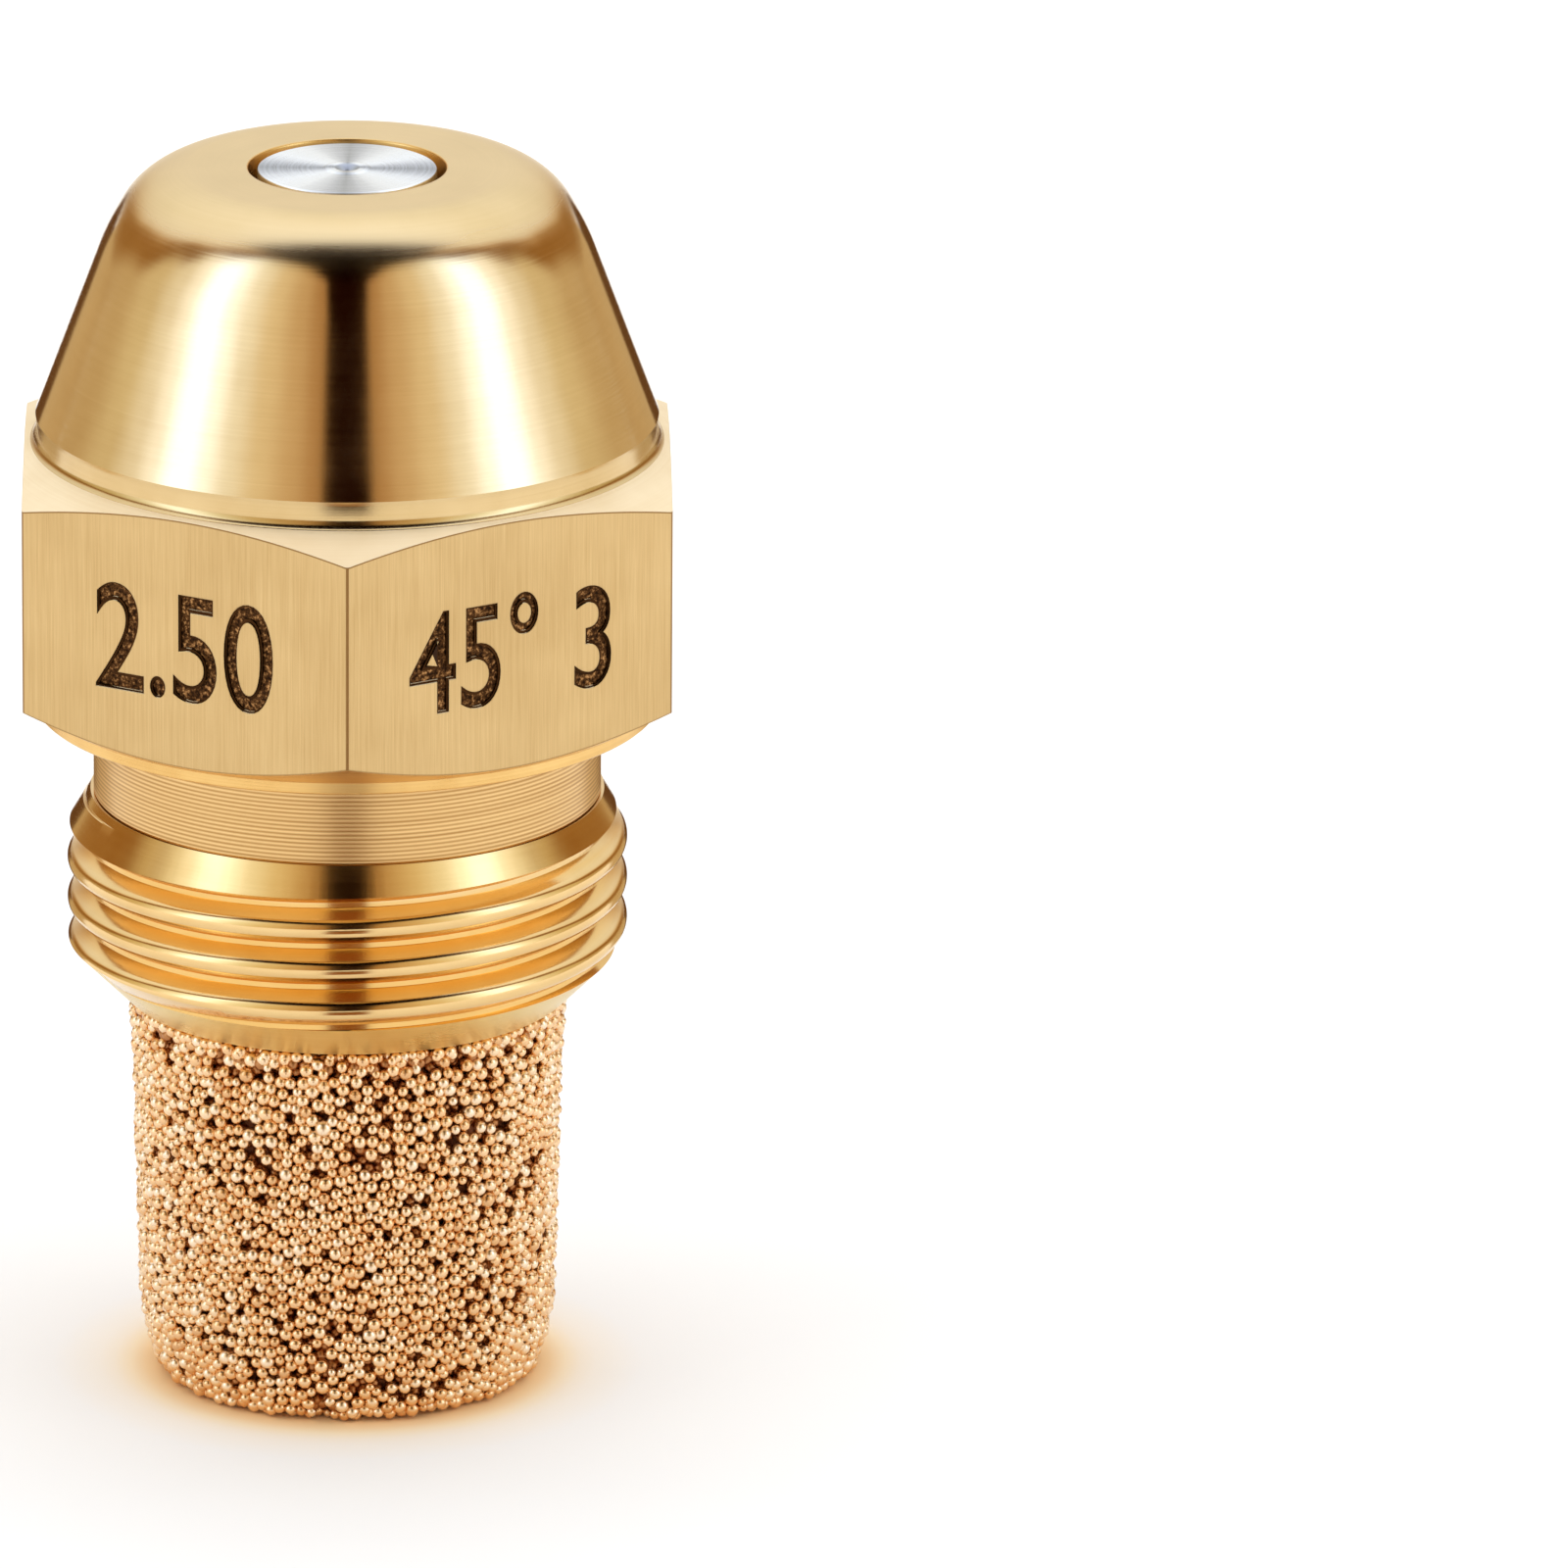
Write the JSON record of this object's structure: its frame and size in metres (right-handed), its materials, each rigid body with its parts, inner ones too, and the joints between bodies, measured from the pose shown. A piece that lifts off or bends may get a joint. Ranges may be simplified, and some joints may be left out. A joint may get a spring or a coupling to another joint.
{
  "type": "oil burner nozzle",
  "caption": "Brass spray nozzle with hexagon, threaded rear, steel orifice disc and a push-in sintered bronze cup filter.",
  "frame": {"origin": "centre of the closed end of the filter, on which the nozzle stands", "axes": "+Z along the nozzle's axis towards the spray end; two wrench flats are square to X"},
  "size_m": [0.016, 0.0184, 0.0312],
  "materials": {
    "brass": "turned and polished brass",
    "steel": "turned stainless steel",
    "bronze": "sintered bronze beads"
  },
  "bodies": {
    "filter": {"sintered_filter": "bronze", "filter_ferrule": "brass"},
    "nozzle": {"nozzle_body": "brass"},
    "swirl_set": {"orifice_disc": "steel", "swirl_distributor": "steel"},
    "screw": {"retaining_screw": "brass"}
  },
  "joints": [
    {"name": "filter_pull", "type": "slide", "parent": "filter", "child": "nozzle", "axis": [0, 0, 1], "range_m": [0, 0.016]},
    {"name": "set_drop", "type": "slide", "parent": "nozzle", "child": "swirl_set", "axis": [0, 0, 1], "range_m": [-0.012, 0]},
    {"name": "screw_turn", "type": "hinge", "parent": "swirl_set", "child": "screw", "pos_m": [0, 0, 0.023], "axis": [0, 0, 1], "range_deg": [-4324, 0]}
  ],
  "couplings": [
    {"joint": "screw_turn", "follows": "set_drop", "rad_per_m": 6283.2}
  ]
}
